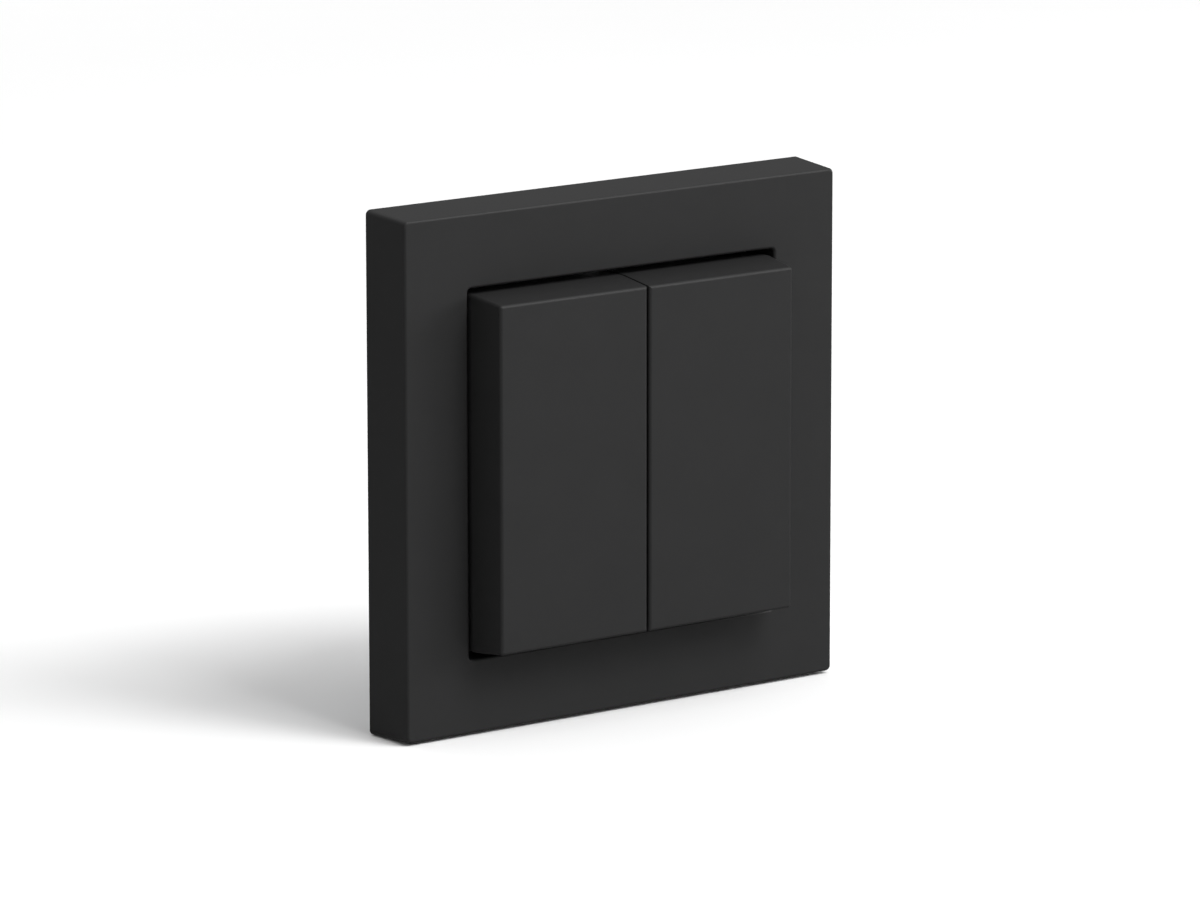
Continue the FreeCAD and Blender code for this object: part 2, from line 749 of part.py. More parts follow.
def clamp(name, z, toward_z):
    """A brass clamp block: a wire hole along Y and a threaded hole for its screw across it."""
    half = "clamp_half"
    y = ("clamp_front", "clamp_back")
    solid = block(name + "Block", ("clamp_in", "clamp_out"), y, (f"{z} - {half}", f"{z} + {half}"))
    through = ("clamp_front - overshoot", "clamp_back + overshoot")
    wire = rod(name + "Wire", "Y", "wire_radius", through, ("wire_x", z))
    if toward_z:
        reach = (z, f"{z} + {half} + overshoot")
        thread = rod(name + "Thread", "Z", "clamp_screw", reach, ("wire_x", "screw_axis"))
    else:
        reach = ("wire_x", "clamp_out + overshoot")
        thread = rod(name + "Thread", "X", "clamp_screw", reach, ("screw_axis", z))
    return cut(name, solid, wire, thread)


def clamp_screw(name, z, toward_z):
    """The slotted screw that presses the wire in its clamp."""
    axis = "Z" if toward_z else "X"
    face = f"{z} + clamp_half" if toward_z else "clamp_out"
    start = f"{z} + wire_radius" if toward_z else "wire_x + wire_radius"
    centre = ("wire_x", "screw_axis") if toward_z else ("screw_axis", z)
    top = f"{face} + clamp_head_height"
    shank = rod(name + "Shank", axis, "clamp_screw", (start, face), centre)
    head = rod(name + "Head", axis, "clamp_screw_head", (face, top), centre)
    groove_y = ("screw_axis - groove_half", "screw_axis + groove_half")
    depth = (f"{top} - groove_depth", f"{top} + overshoot")
    wide = "clamp_screw_head + overshoot"
    if toward_z:
        groove = block(name + "Groove", (f"wire_x - ({wide})", f"wire_x + {wide}"), groove_y, depth)
    else:
        groove = block(name + "Groove", depth, groove_y, (f"{z} - ({wide})", f"{z} + {wide}"))
    return cut(name, fuse(name + "Solid", shank, head), groove)


def six_fold(label, name, build):
    """Four copies at the output terminals and two at the common ones, as one node."""
    output = build(name + "Output", "lever_z", True)
    common = build(name + "Common", "0", False)
    copies = list(quarters(name, output).values())
    copies += [common, mirror(name + "CommonLeft", common, "X")]
    return sub_part(group(name + "Set", *copies), label)


def build_switch():
    cover_frame()
    mounting_plate()
    frame_clips()
    insert_cover()
    insert_base()
    terminal_lid()
    insert_screws()
    lid_screws()
    shaft = rod("PivotShaft", "X", "shaft_radius", ("-shaft_half", "shaft_half"), ("-pivot_depth", "0"))
    sub_part(shaft, "pivot_shaft")
    for label, source in (("rocker_cap", rocker_cap()), ("rocker_cradle", rocker_cradle())):
        sub_part(source, label + "_right")
        sub_part(mirror(label + "Left", source, "X"), label + "_left")
    common = common_strip()
    sub_part(common, "common_strip_right")
    sub_part(mirror("CommonStripLeft", common, "X"), "common_strip_left")
    fixed_face = "floor_front - strip_gauge - fixed_tip_height"
    four_of_each = (
        ("plunger", plunger()),
        ("contact_bridge", contact_bridge()),
        ("bridge_tips", tips("BridgeTips", "bridge_back", "tip_height")),
        ("return_spring", spring()),
        ("output_strip", output_strip()),
        ("fixed_tips", tips("FixedTips", fixed_face, "fixed_tip_height")),
    )
    for label, source in four_of_each:
        for (side, height), piece in quarters(label, source).items():
            sub_part(piece, f"{label}_{side}_{height}")
    six_fold("terminal_clamps", "TerminalClamp", clamp)
    six_fold("terminal_screws", "TerminalScrew", clamp_screw)


build_switch()
doc.recompute()
for item in doc.Objects:
    if {"Invalid", "Error"} & set(item.State):
        raise RuntimeError(f"{item.Label} failed: {item.State}")
os.makedirs("parts", exist_ok=True)
for item in sub_parts:
    shape = item.Shape
    if shape.isNull() or not shape.isValid():
        raise RuntimeError(f"{item.Label} has no valid shape")
    shape.exportStep(f"parts/{item.Label}.step")
    print(f"{item.Label}: {len(shape.Solids)} solid(s), {shape.Volume:.1f} mm3")
print(len(sub_parts), "sub-parts")
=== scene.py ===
import math

import bmesh
import bpy
from mathutils import Matrix, Vector


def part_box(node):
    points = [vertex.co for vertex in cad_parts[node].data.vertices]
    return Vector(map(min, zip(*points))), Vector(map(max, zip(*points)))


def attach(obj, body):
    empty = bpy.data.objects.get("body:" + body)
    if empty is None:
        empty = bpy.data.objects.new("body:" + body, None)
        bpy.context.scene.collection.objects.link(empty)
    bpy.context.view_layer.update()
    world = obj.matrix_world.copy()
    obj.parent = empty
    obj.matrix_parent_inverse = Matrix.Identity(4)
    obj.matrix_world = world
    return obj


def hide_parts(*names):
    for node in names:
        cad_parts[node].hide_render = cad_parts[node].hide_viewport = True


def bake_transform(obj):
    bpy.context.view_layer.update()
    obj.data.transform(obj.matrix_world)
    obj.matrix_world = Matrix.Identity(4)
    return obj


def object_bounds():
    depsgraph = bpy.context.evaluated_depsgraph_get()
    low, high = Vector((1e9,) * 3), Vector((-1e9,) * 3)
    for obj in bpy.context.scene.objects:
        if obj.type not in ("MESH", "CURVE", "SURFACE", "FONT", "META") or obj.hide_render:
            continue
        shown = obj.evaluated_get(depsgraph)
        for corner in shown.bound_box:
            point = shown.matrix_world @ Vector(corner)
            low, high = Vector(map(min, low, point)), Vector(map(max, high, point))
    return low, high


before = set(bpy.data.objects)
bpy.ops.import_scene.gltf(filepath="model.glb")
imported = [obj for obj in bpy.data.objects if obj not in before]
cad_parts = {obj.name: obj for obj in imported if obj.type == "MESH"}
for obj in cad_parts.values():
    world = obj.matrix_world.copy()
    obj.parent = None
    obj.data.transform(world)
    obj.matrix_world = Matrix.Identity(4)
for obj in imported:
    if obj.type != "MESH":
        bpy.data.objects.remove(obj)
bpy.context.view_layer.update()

# The switch stands upright in the room frame: X to the right, Z up, and its face towards -Y.
# Metres throughout.

scene = bpy.context.scene
MM = 0.001


def direction(azimuth, elevation):
    """The way from the switch to a place round it, from two angles in radians.
    Azimuth 0 is straight in front and turns to the right."""
    return Vector((
        math.sin(azimuth) * math.cos(elevation),
        -math.cos(azimuth) * math.cos(elevation),
        math.sin(elevation),
    ))


# ------------------------------------------------------------------ camera
# A long lens, from the front left and a little above, with the frame's centre just off the axis.
CAMERA_AZIMUTH = -35.37
CAMERA_ELEVATION = 12.15
CAMERA_ROLL = -0.06
CAMERA_DISTANCE = 1.0985
CAMERA_RIGHT = 0.00195
CAMERA_UP = -0.00125
LENS = 216.9
SENSOR_WIDTH = 36
CLIP = (0.01, 50)


def make_camera():
    azimuth, roll = math.radians(CAMERA_AZIMUTH), math.radians(CAMERA_ROLL)
    back = direction(azimuth, math.radians(CAMERA_ELEVATION))
    level = Vector((math.cos(azimuth), math.sin(azimuth), 0))
    upright = back.cross(level)
    right = level * math.cos(roll) + upright * math.sin(roll)
    up = upright * math.cos(roll) - level * math.sin(roll)
    data = bpy.data.cameras.new("camera")
    data.lens = LENS
    data.sensor_width = SENSOR_WIDTH
    data.clip_start, data.clip_end = CLIP
    camera = bpy.data.objects.new("camera", data)
    place = back * CAMERA_DISTANCE + right * CAMERA_RIGHT + up * CAMERA_UP
    camera.matrix_world = Matrix.Translation(place) @ Matrix((right, up, back)).transposed().to_4x4()
    scene.collection.objects.link(camera)
    scene.camera = camera


# ------------------------------------------------------------------ materials
# Colours are linear. Sizes of grain, flecks, lines and patches are in millimetres.
ANTHRACITE = (0.0185, 0.0185, 0.0187)
HOUSING_GREY = (0.19, 0.20, 0.21)
LID_GREY = (0.36, 0.37, 0.37)
INSERT_WHITE = (0.60, 0.60, 0.57)
ACETAL_DEEP = (0.66, 0.64, 0.57)
ACETAL_PALE = (0.74, 0.72, 0.66)
ZINC_DARK = (0.57, 0.59, 0.61)
ZINC_LIGHT = (0.62, 0.64, 0.66)
# Stretches of a noise that draw its spots out to lines along one axis, or round the shaft.
EVEN = (1, 1, 1)
FIBRES = (0.25, 1, 1)
ALONG_X = (0.06, 1, 1)
ALONG_Y = (1, 0.06, 1)
ALONG_Z = (1, 1, 0.06)
ROLLED = (1, 1, 0.04)
ROUND_SHAFT = (1, 0.05, 0.05)
# The part of a noise's range that a pattern uses, as (start, end).
FLECK_RANGE = (0.60, 0.75)
GLOSS_RANGE = (0.7, 1.3)
LINE_RANGE = (0.3, 0.7)
ROUGHNESS_SWING = 0.03
FLECK_LIFT = 1.18
# Sockets whose name is not its keyword with capitals.
SOCKETS = {"specular_ior_level": "Specular IOR Level"}


class Shader:
    """A new material with its Principled shader and a short way to add and link nodes."""

    def __init__(self, name):
        self.material = bpy.data.materials.new(name)
        self.material.use_nodes = True
        self.tree = self.material.node_tree
        self.principled = self.tree.nodes["Principled BSDF"]

    def node(self, kind, **settings):
        made = self.tree.nodes.new("ShaderNode" + kind)
        for name, value in settings.items():
            if hasattr(made, name):
                setattr(made, name, value)
            else:
                made.inputs[name.replace("_", " ").title()].default_value = value
        return made

    def link(self, source, target):
        self.tree.links.new(source, target)

    def set(self, **values):
        for name, value in values.items():
            socket = SOCKETS.get(name) or name.replace("_", " ").title()
            self.principled.inputs[socket].default_value = value

    def noise(self, scale, detail=4.0, stretch=None, roughness=0.5):
        """Noise in the frame's own metres, so its grain has a real size; scale is per metre."""
        place = self.node("TexCoord")
        noise = self.node("TexNoise", Scale=scale, Detail=detail, Roughness=roughness)
        source = place.outputs["Object"]
        if stretch:
            mapping = self.node("Mapping")
            mapping.inputs["Scale"].default_value = stretch
            self.link(source, mapping.inputs["Vector"])
            source = mapping.outputs["Vector"]
        self.link(source, noise.inputs["Vector"])
        return noise.outputs["Fac"]

    def ramp(self, factor, stops):
        ramp = self.node("ValToRGB")
        elements = ramp.color_ramp.elements
        while len(elements) < len(stops):
            elements.new(0.5)
        for element, (place, colour) in zip(elements, stops):
            element.position = place
            element.color = (*colour, 1)
        self.link(factor, ramp.inputs["Fac"])
        return ramp.outputs["Color"]

    def spread(self, factor, low, high, start=0.0, end=1.0):
        """Maps a factor between start and end on to low and high."""
        spread = self.node("MapRange", clamp=True)
        limits = {"From Min": start, "From Max": end, "To Min": low, "To Max": high}
        for socket, value in limits.items():
            spread.inputs[socket].default_value = value
        self.link(factor, spread.inputs["Value"])
        return spread.outputs["Result"]

    def mix(self, factor, below, above):
        """The colour below where the factor is 0, and the plain colour above where it is 1.
        The Mix node holds a set of sockets for each data type; 6, 7 and output 2 are the colours."""
        mix = self.node("Mix", data_type="RGBA")
        self.link(factor, mix.inputs["Factor"])
        self.link(below, mix.inputs[6])
        mix.inputs[7].default_value = (*above, 1)
        return mix.outputs[2]

    def bump(self, height, depth):
        bump = self.node("Bump", Strength=1.0, Distance=depth)
        self.link(height, bump.inputs["Height"])
        return bump.outputs["Normal"]

    def finish(self, colour=None, roughness=None, normal=None):
        """Links what varies over the surface to the Principled shader."""
        patterns = {"Base Color": colour, "Roughness": roughness, "Normal": normal}
        for socket, pattern in patterns.items():
            if pattern is not None:
                self.link(pattern, self.principled.inputs[socket])


def grey(level):
    return (level, level, level)


def shade(colour, factor):
    return tuple(channel * factor for channel in colour)


def moulded(name, colour, roughness, spread=0.04, grain=0.16, depth=0.003, fleck=None, specular=0.5):
    """Moulded plastic: a faint mottle, a fine spark-eroded grain, and pale flecks where glass-filled.
    Spread is the mottle's share of the colour."""
    shader = Shader(name)
    mottle = shader.ramp(
        shader.noise(1 / (7 * MM), detail=3),
        ((0.35, shade(colour, 1 - spread)), (0.65, shade(colour, 1 + spread))),
    )
    if fleck:
        streaks = shader.noise(1 / (fleck * MM), detail=3, stretch=FIBRES, roughness=0.7)
        flecks = shader.spread(streaks, 0, 1, *FLECK_RANGE)
        mottle = shader.mix(flecks, mottle, shade(colour, FLECK_LIFT))
    texture = shader.noise(1 / (grain * MM), detail=2)
    shader.finish(
        colour=mottle,
        roughness=shader.spread(texture, roughness - ROUGHNESS_SWING, roughness + ROUGHNESS_SWING),
        normal=shader.bump(texture, depth * MM),
    )
    shader.set(specular_ior_level=specular)
    return shader.material


def metal(name, clean, dull, smooth, rough, lines=EVEN, patch=2.5):
    """Bare metal: slow patches from clean to dull, and fine lines from rolling or drawing."""
    shader = Shader(name)
    patches = shader.noise(1 / (patch * MM), detail=5, roughness=0.6)
    colour = shader.ramp(patches, ((0.35, clean), (0.68, dull)))
    scratches = shader.noise(1 / (0.12 * MM), detail=3, stretch=lines, roughness=0.6)
    uneven = shader.node("Math", operation="ADD")
    shader.link(patches, uneven.inputs[0])
    shader.link(scratches, uneven.inputs[1])
    shader.finish(
        colour=colour,
        roughness=shader.spread(uneven.outputs["Value"], smooth, rough, *GLOSS_RANGE),
        normal=shader.bump(scratches, 0.001 * MM),
    )
    shader.set(metallic=1.0)
    return shader.material


def zinc_sheet():
    """Rolled sheet with a bright zinc coat: crystal patches of nearly one tone over rolling lines."""
    shader = Shader("zinc_plated_sheet")
    place = shader.node("TexCoord")
    crystals = shader.node("TexVoronoi", Scale=1 / (1.6 * MM))
    shader.link(place.outputs["Object"], crystals.inputs["Vector"])
    lines = shader.noise(1 / (0.15 * MM), detail=3, stretch=ROLLED, roughness=0.6)
    shader.finish(
        colour=shader.ramp(crystals.outputs["Color"], ((0.1, ZINC_DARK), (0.9, ZINC_LIGHT))),
        roughness=shader.spread(lines, 0.30, 0.46, *LINE_RANGE),
        normal=shader.bump(lines, 0.0015 * MM),
    )
    shader.set(metallic=1.0)
    return shader.material


def acetal():
    """Natural acetal: a waxy, slightly see-through white with a low sheen."""
    shader = Shader("natural_acetal")
    cloud = shader.noise(1 / (5 * MM), detail=3)
    grain = shader.noise(1 / (0.2 * MM), detail=2)
    shader.finish(
        colour=shader.ramp(cloud, ((0.3, ACETAL_DEEP), (0.7, ACETAL_PALE))),
        roughness=shader.spread(grain, 0.30, 0.40),
        normal=shader.bump(grain, 0.002 * MM),
    )
    shader.set(subsurface_weight=0.2, subsurface_scale=0.8 * MM)
    return shader.material


def give(material, *starts):
    """Puts a material on every CAD piece whose name begins with one of the starts."""
    for name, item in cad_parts.items():
        if name.startswith(starts):
            item.data.materials.clear()
            item.data.materials.append(material)


def dress():
    """Every CAD piece gets its own kind of surface; returns the one of the frame and the rockers."""
    anthracite = moulded(
        "matt_anthracite", ANTHRACITE, 0.5, spread=0.02, grain=0.14, depth=0.002, specular=0.2,
    )
    give(anthracite, "cover_frame", "rocker_cap")
    housing = moulded("housing_grey", HOUSING_GREY, 0.42, grain=0.2, depth=0.004, fleck=0.5)
    give(housing, "insert_base")
    lid = moulded("lid_grey", LID_GREY, 0.45, grain=0.2, depth=0.004, fleck=0.5)
    give(lid, "terminal_lid")
    give(moulded("insert_white", INSERT_WHITE, 0.40, grain=0.2), "insert_cover")
    give(acetal(), "rocker_cradle", "plunger")
    give(zinc_sheet(), "mounting_plate")
    clips = metal(
        "clip_steel", clean=(0.50, 0.49, 0.47), dull=(0.40, 0.39, 0.37),
        smooth=0.18, rough=0.34, lines=ALONG_Y,
    )
    give(clips, "frame_clips")
    screws = metal(
        "plated_screw", clean=(0.66, 0.65, 0.60), dull=(0.54, 0.53, 0.50),
        smooth=0.24, rough=0.42, patch=1.2,
    )
    give(screws, "insert_screws", "lid_screws", "terminal_screws")
    shaft = metal(
        "ground_shaft", clean=(0.60, 0.60, 0.59), dull=(0.54, 0.54, 0.54),
        smooth=0.12, rough=0.24, lines=ROUND_SHAFT,
    )
    give(shaft, "pivot_shaft")
    brass = metal(
        "drawn_brass", clean=(0.76, 0.56, 0.25), dull=(0.60, 0.40, 0.16),
        smooth=0.20, rough=0.40, lines=ALONG_Z,
    )
    give(brass, "terminal_clamps")
    bronze = metal(
        "strip_bronze", clean=(0.74, 0.44, 0.28), dull=(0.56, 0.31, 0.19),
        smooth=0.24, rough=0.44, lines=ALONG_X,
    )
    give(bronze, "output_strip", "common_strip", "contact_bridge")
    silver = metal(
        "contact_silver", clean=(0.88, 0.87, 0.83), dull=(0.70, 0.68, 0.63),
        smooth=0.22, rough=0.38, patch=0.8,
    )
    give(silver, "fixed_tips", "bridge_tips")
    return anthracite


# ------------------------------------------------------------------ cover frame and rocker caps
# The same sizes as the CAD pieces that these meshes replace.
FRAME_DRAFT = math.radians(2.95)
FRAME_WALL = 2.2 * MM
FRAME_PLATE = 2.0 * MM
FRAME_CORNER = 0.8 * MM
FRAME_EDGE = 0.45 * MM
OPENING_HALF = 28.25 * MM
OPENING_CORNER = 0.6 * MM
OPENING_EDGE = 0.45 * MM
COLLAR_WALL = 1.2 * MM
COLLAR_BACK = -2.2 * MM
INNER_CORNER = 0.3 * MM
PIVOT_Y = -9.5 * MM
CAP_FRONT_X = 26.88 * MM
CAP_FRONT_Z = 26.5 * MM
CAP_WALL = 1.5 * MM
CAP_PLATE = 2.0 * MM
CAP_EDGE = 0.5 * MM
SLIT_CORNER = 0.05 * MM
NOTCH_HALF = 4.5 * MM
NOTCH_FRONT = -13.0 * MM
LEG_X = (7.25 * MM, 11.75 * MM)
LEG_FRONT = -14.5 * MM
LEG_BACK = -10.9 * MM
HOOK_FRONT = -11.7 * MM
LEG_INNER = 14.1 * MM
LEG_OUTER = 15.6 * MM
HOOK_INNER = 13.2 * MM

ARC_STEPS = 8
SHARP = math.radians(35)


class Ring:
    """An upright rectangle at one depth, with one corner radius on its right and one on its left."""

    def __init__(self, y, left, right, bottom, top, right_radius, left_radius=None):
        self.y = y
        self.sides = (left, right, bottom, top)
        self.right_radius = right_radius
        self.left_radius = right_radius if left_radius is None else left_radius

    @classmethod
    def square(cls, y, half, radius):
        return cls(y, -half, half, -half, half, radius)

    def points(self):
        left, right, bottom, top = self.sides
        corners = (
            (right, top, -1, -1, self.right_radius, 0),
            (left, top, 1, -1, self.left_radius, 1),
            (left, bottom, 1, 1, self.left_radius, 2),
            (right, bottom, -1, 1, self.right_radius, 3),
        )
        for x, z, inward_x, inward_z, radius, quarter in corners:
            for step in range(ARC_STEPS + 1):
                angle = math.pi / 2 * (quarter + step / ARC_STEPS)
                yield Vector((
                    x + radius * (inward_x + math.cos(angle)),
                    self.y,
                    z + radius * (inward_z + math.sin(angle)),
                ))


def edge_arc(front, wall, slope, radius):
    """The rounded edge between a front face and a wall that leans out by slope behind it.
    Gives (y, how far out, the arc's centre) from the face to the wall."""
    lean = math.atan(slope)
    centre = wall + radius * slope - radius / math.cos(lean)
    for step in range(ARC_STEPS + 1):
        angle = math.pi / 2 + (lean - math.pi / 2) * step / ARC_STEPS
        yield front + radius * (1 - math.sin(angle)), centre + radius * math.cos(angle), centre


def skin(build, rings, closed=False):
    """Joins rings one after another with quads and returns their vertices."""
    made = [[build.verts.new(point) for point in ring.points()] for ring in rings]
    follow = zip(made, made[1:] + made[:1]) if closed else zip(made, made[1:])
    for ring, following in follow:
        for number, corner in enumerate(ring):
            before = number - 1
            build.faces.new((ring[before], corner, following[number], following[before]))
    return made


def as_object(build, name):
    """Turns the mesh code's result into an object with every face turned outwards."""
    bmesh.ops.recalc_face_normals(build, faces=build.faces)
    mesh = bpy.data.meshes.new(name)
    build.to_mesh(mesh)
    build.free()
    made = bpy.data.objects.new(name, mesh)
    scene.collection.objects.link(made)
    return made


def smooth_rounds(piece):
    """Smooth shading over the rounds, with the sharper edges kept crisp."""
    piece.data.shade_smooth()
    piece.data.set_sharp_from_angle(angle=SHARP)


def weigh_normals(piece):
    """Flat faces keep flat shading right up to their rounded edges."""
    weigh = piece.modifiers.new("even_shading", "WEIGHTED_NORMAL")
    weigh.keep_sharp = True


def make_cover_frame(material):
    """One closed skin: drafted outside, rounded front, opening, collar behind it, hollow back."""
    low, high = (Vector(corner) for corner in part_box("cover_frame"))
    half, front, back = high.x, low.y, high.y
    slope = math.tan(FRAME_DRAFT)
    front_half = half - (back - front) * slope
    rings = []
    for y, out, centre in edge_arc(front, front_half, slope, FRAME_EDGE):
        rings.append(Ring.square(y, out, FRAME_CORNER - FRAME_EDGE + out - centre))
    rings.append(Ring.square(back, half, FRAME_CORNER))
    inside = half - FRAME_WALL
    floor = front + FRAME_PLATE
    collar = OPENING_HALF + COLLAR_WALL
    rings.append(Ring.square(back, inside, INNER_CORNER))
    rings.append(Ring.square(floor, inside, INNER_CORNER))
    rings.append(Ring.square(floor, collar, INNER_CORNER))
    rings.append(Ring.square(COLLAR_BACK, collar, INNER_CORNER))
    rings.append(Ring.square(COLLAR_BACK, OPENING_HALF, OPENING_CORNER))
    for step in range(ARC_STEPS + 1):
        angle = math.pi / 2 * step / ARC_STEPS
        inset = OPENING_EDGE * (1 - math.cos(angle))
        y = front + OPENING_EDGE * (1 - math.sin(angle))
        rings.append(Ring.square(y, OPENING_HALF + inset, OPENING_CORNER + inset))
    build = bmesh.new()
    skin(build, rings, closed=True)
    piece = as_object(build, "moulded_cover_frame")
    piece.data.materials.append(material)
    smooth_rounds(piece)
    weigh_normals(piece)
    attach(piece, "switch_base")
    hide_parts("cover_frame")


def prism(build, outline, x_low, x_high):
    """A closed solid with a (y, z) outline between two planes across X."""
    ends = [[build.verts.new((x, y, z)) for y, z in outline] for x in (x_low, x_high)]
    for number in range(len(outline)):
        before = number - 1
        build.faces.new((ends[0][before], ends[0][number], ends[1][number], ends[1][before]))
    build.faces.new(ends[0])
    build.faces.new(list(reversed(ends[1])))


def carve(piece, name, operation, outlines, x_low, x_high):
    """Cuts prisms out of a piece, or joins them to it."""
    build = bmesh.new()
    for outline in outlines:
        prism(build, outline, x_low, x_high)
    tool = as_object(build, name)
    modifier = piece.modifiers.new(name, "BOOLEAN")
    modifier.operation = operation
    modifier.object = tool
    modifier.solver = "EXACT"
    bpy.context.view_layer.update()
    result = piece.evaluated_get(bpy.context.evaluated_depsgraph_get())
    carved = bpy.data.meshes.new_from_object(result)
    piece.modifiers.clear()
    piece.data = carved
    bpy.data.objects.remove(tool)


def make_cap(side, material):
    """A hollow shell that flares behind its front face, with a notch for the shaft and hooked legs.
    Both are made as the right one; the left one is its mirror image."""
    node = f"rocker_cap_{side}"
    right_low, right_high = (Vector(corner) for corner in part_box("rocker_cap_right"))
    slit, flank, end = right_low.x, right_high.x, right_high.z
    front, back = right_low.y, right_high.y
    slope_x = (flank - CAP_FRONT_X) / (PIVOT_Y - front)
    slope_z = (end - CAP_FRONT_Z) / (PIVOT_Y - front)
    across = list(edge_arc(front, CAP_FRONT_X, slope_x, CAP_EDGE))
    upward = list(edge_arc(front, CAP_FRONT_Z, slope_z, CAP_EDGE))
    slitward = list(edge_arc(front, -slit, 0, CAP_EDGE))
    rings = []
    for (y, x, centre), (_, z, _), (_, left, _) in zip(across, upward, slitward):
        rings.append(Ring(y, -left, x, -z, z, max(x - centre, SLIT_CORNER), SLIT_CORNER))
    rings.append(Ring(PIVOT_Y, slit, flank, -end, end, CAP_EDGE, SLIT_CORNER))
    rings.append(Ring(back, slit, flank, -end, end, CAP_EDGE, SLIT_CORNER))
    inner_left, inner_right, inner_end = slit + CAP_WALL, CAP_FRONT_X - CAP_WALL, end - CAP_WALL
    floor_end = CAP_FRONT_Z - CAP_WALL
    rings.append(Ring(back, inner_left, inner_right, -inner_end, inner_end, INNER_CORNER))
    rings.append(Ring(PIVOT_Y, inner_left, inner_right, -inner_end, inner_end, INNER_CORNER))
    floor = front + CAP_PLATE
    rings.append(Ring(floor, inner_left, inner_right, -floor_end, floor_end, INNER_CORNER))
    build = bmesh.new()
    made = skin(build, rings)
    build.faces.new(list(reversed(made[0])))
    build.faces.new(made[-1])
    piece = as_object(build, f"moulded_{node}")
    piece.data.materials.append(material)
    notch = [
        (NOTCH_FRONT, -NOTCH_HALF), (0, -NOTCH_HALF), (0, NOTCH_HALF), (NOTCH_FRONT, NOTCH_HALF),
    ]
    carve(piece, "shaft_notch", "DIFFERENCE", [notch], -CAP_WALL, inner_left + CAP_WALL / 3)
    legs = []
    for way in (-1, 1):
        outline = (
            (LEG_FRONT, LEG_INNER), (LEG_FRONT, LEG_OUTER), (LEG_BACK, LEG_OUTER),
            (LEG_BACK, HOOK_INNER), (HOOK_FRONT, HOOK_INNER), (HOOK_FRONT, LEG_INNER),
        )
        legs.append([(y, way * z) for y, z in outline])
    carve(piece, "hooked_legs", "UNION", legs, *LEG_X)
    if side == "left":
        piece.data.transform(Matrix.Scale(-1, 4, (1, 0, 0)))
        piece.data.flip_normals()
    smooth_rounds(piece)
    weigh_normals(piece)
    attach(piece, f"rocker_{side}")
    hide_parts(node)


# ------------------------------------------------------------------ return springs
SPRING_MEAN_RADIUS = 1.95 * MM
SPRING_WIRE_RADIUS = 0.22 * MM
SPRING_TURNS = 8
CLOSED_TURNS = 1.25
STEPS_PER_TURN = 28
WIRE_SIDES = 12


def coil_height(turn, low, high):
    """Where the wire's centre is along the spring: the end turns are closed, the rest evenly open."""
    wire = 2 * SPRING_WIRE_RADIUS
    if turn < CLOSED_TURNS:
        return low + wire * turn
    if turn > SPRING_TURNS - CLOSED_TURNS:
        return high - wire * (SPRING_TURNS - turn)
    open_turns = SPRING_TURNS - 2 * CLOSED_TURNS
    open_length = high - low - 2 * wire * CLOSED_TURNS
    return low + wire * CLOSED_TURNS + open_length * (turn - CLOSED_TURNS) / open_turns


def wound_spring(name, low, high, material):
    """A wire spring along Y, closed at both ends, between two corners of its sleeve's box."""
    centre = (low + high) / 2
    first, last = low.y + SPRING_WIRE_RADIUS, high.y - SPRING_WIRE_RADIUS
    build = bmesh.new()
    rings = []
    for step in range(SPRING_TURNS * STEPS_PER_TURN + 1):
        turn = step / STEPS_PER_TURN
        outward = Vector((math.cos(math.tau * turn), 0, math.sin(math.tau * turn)))
        axis_point = Vector((centre.x, coil_height(turn, first, last), centre.z))
        middle = axis_point + outward * SPRING_MEAN_RADIUS
        ring = []
        for side in range(WIRE_SIDES):
            around = math.tau * side / WIRE_SIDES
            offset = outward * math.cos(around) + Vector((0, math.sin(around), 0))
            ring.append(build.verts.new(middle + offset * SPRING_WIRE_RADIUS))
        rings.append(ring)
    for ring, following in zip(rings, rings[1:]):
        for side in range(WIRE_SIDES):
            across = (side + 1) % WIRE_SIDES
            build.faces.new((ring[side], ring[across], following[across], following[side]))
    build.faces.new(list(reversed(rings[0])))
    build.faces.new(rings[-1])
    spring = as_object(build, name)
    spring.data.shade_smooth()
    spring.data.materials.append(material)
    return spring


def make_springs():
    """One spring behind each plunger, wound in the box of the sleeve that it replaces."""
    wire = metal(
        "spring_wire", clean=(0.56, 0.55, 0.53), dull=(0.44, 0.43, 0.41),
        smooth=0.16, rough=0.30, patch=1.0,
    )
    for side in ("left", "right"):
        for height in ("upper", "lower"):
            sleeve = f"return_spring_{side}_{height}"
            low, high = (Vector(corner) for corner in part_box(sleeve))
            spring = wound_spring(f"wound_{sleeve}", low, high, wire)
            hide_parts(sleeve)
            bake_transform(spring)


# ------------------------------------------------------------------ stage and light
FLOOR_HALF = 6
FLOOR_TONES = (0.93, 0.95)
FLOOR_ROUGHNESS = 0.9
SKY_LOW = 0.15
SKY_MIDDLE = 0.25
SKY_HIGH = 0.64
# Where the sky changes, as (sine of the elevation, brightness).
SKY_STEPS = ((-0.10, SKY_LOW), (-0.06, SKY_MIDDLE), (0.52, SKY_MIDDLE), (0.62, SKY_HIGH))


def make_stage():
    """A pale floor, kept out of reflections, because those would lighten the matt plastic."""
    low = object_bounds()[0].z
    mesh = bpy.data.meshes.new("floor")
    signs = ((-1, -1), (1, -1), (1, 1), (-1, 1))
    corners = [(FLOOR_HALF * across, FLOOR_HALF * along, low) for across, along in signs]
    mesh.from_pydata(corners, [], [(0, 1, 2, 3)])
    floor = bpy.data.objects.new("floor", mesh)
    scene.collection.objects.link(floor)
    shader = Shader("pale_floor")
    darker, lighter = FLOOR_TONES
    shader.finish(colour=shader.ramp(shader.noise(3), ((0.3, grey(darker)), (0.7, grey(lighter)))))
    shader.set(roughness=FLOOR_ROUGHNESS)
    mesh.materials.append(shader.material)
    floor.visible_glossy = False


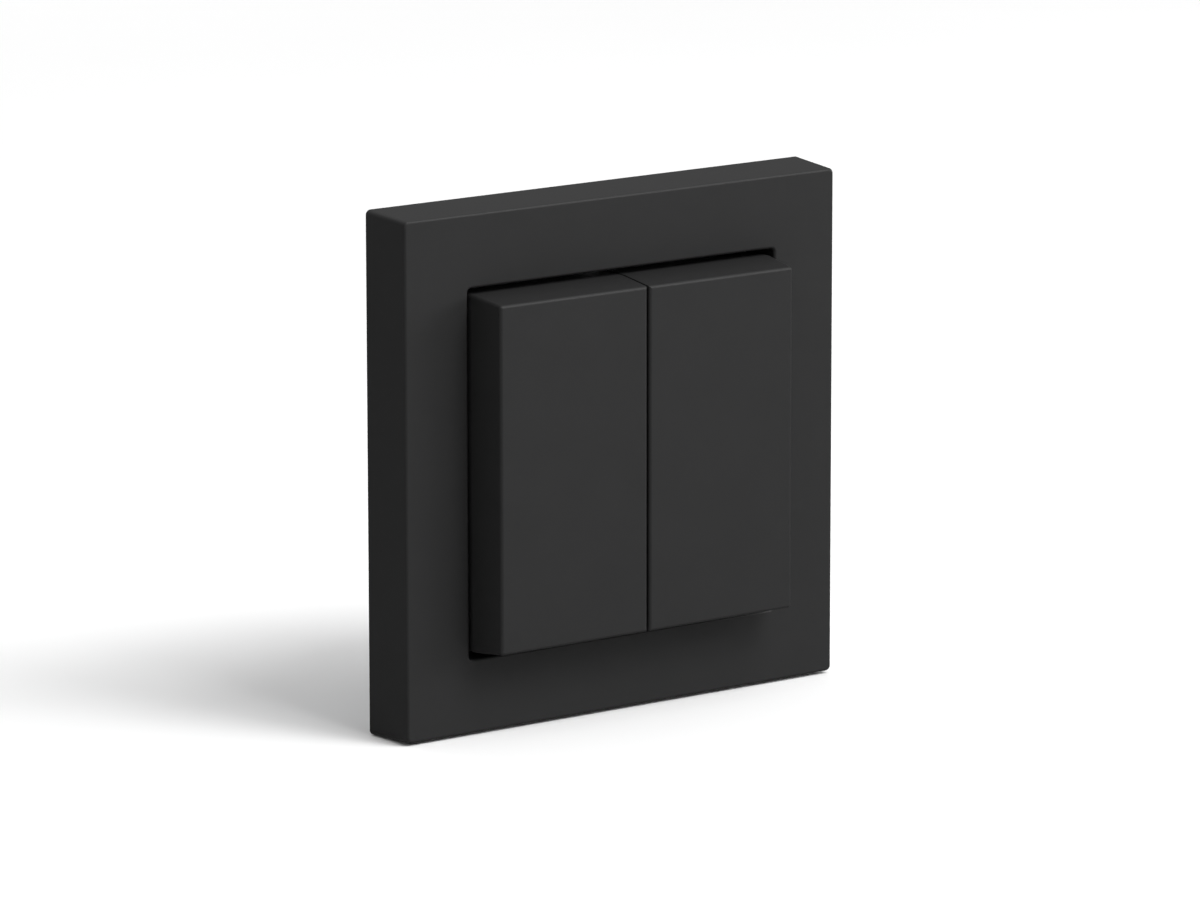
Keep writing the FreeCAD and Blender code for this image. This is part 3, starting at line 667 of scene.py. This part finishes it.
def soft_box(name, azimuth, elevation, distance, size, power):
    """A flat soft light aimed at the switch. Size is its width and height; angles are in degrees."""
    away = direction(math.radians(azimuth), math.radians(elevation))
    data = bpy.data.lights.new(name, "AREA")
    data.shape = "RECTANGLE"
    data.size, data.size_y = size
    data.energy = power
    light = bpy.data.objects.new(name, data)
    light.location = away * distance
    light.rotation_euler = away.to_track_quat("Z", "Y").to_euler()
    scene.collection.objects.link(light)


def make_world():
    """A room that is bright overhead, dim at eye level and dimmer below, with soft steps between."""
    world = bpy.data.worlds.new("studio")
    world.use_nodes = True
    tree = world.node_tree
    place = tree.nodes.new("ShaderNodeTexCoord")
    split = tree.nodes.new("ShaderNodeSeparateXYZ")
    height = tree.nodes.new("ShaderNodeMapRange")
    height.inputs["From Min"].default_value = -1
    sky = tree.nodes.new("ShaderNodeValToRGB")
    stops = sky.color_ramp.elements
    stops[0].color = (*grey(SKY_LOW), 1)
    stops[1].color = (*grey(SKY_HIGH), 1)
    for rise, level in SKY_STEPS:
        stops.new((rise + 1) / 2).color = (*grey(level), 1)
    tree.links.new(place.outputs["Generated"], split.inputs["Vector"])
    tree.links.new(split.outputs["Z"], height.inputs["Value"])
    tree.links.new(height.outputs["Result"], sky.inputs["Fac"])
    tree.links.new(sky.outputs["Color"], tree.nodes["Background"].inputs["Color"])
    scene.world = world


def make_light():
    """Soft boxes above, to the upper right and low on the right, and two behind.
    The low strip behind stays under the plane of the frame's top face, so it lights only the back."""
    make_world()
    scene.view_settings.view_transform = "Standard"
    soft_box("overhead", azimuth=15, elevation=55, distance=1.6, size=(0.7, 0.7), power=12.2)
    soft_box("main", azimuth=30, elevation=40, distance=1.6, size=(0.7, 0.7), power=10.0)
    soft_box("side", azimuth=60, elevation=15, distance=1.6, size=(0.7, 0.7), power=10.2)
    soft_box("rear", azimuth=180, elevation=55, distance=1.8, size=(1.0, 1.0), power=1.8)
    soft_box("rear_low", azimuth=165, elevation=1.2, distance=1.6, size=(1.1, 0.14), power=9.0)


make_camera()
anthracite = dress()
make_cover_frame(anthracite)
make_cap("left", anthracite)
make_cap("right", anthracite)
make_springs()
make_stage()
make_light()
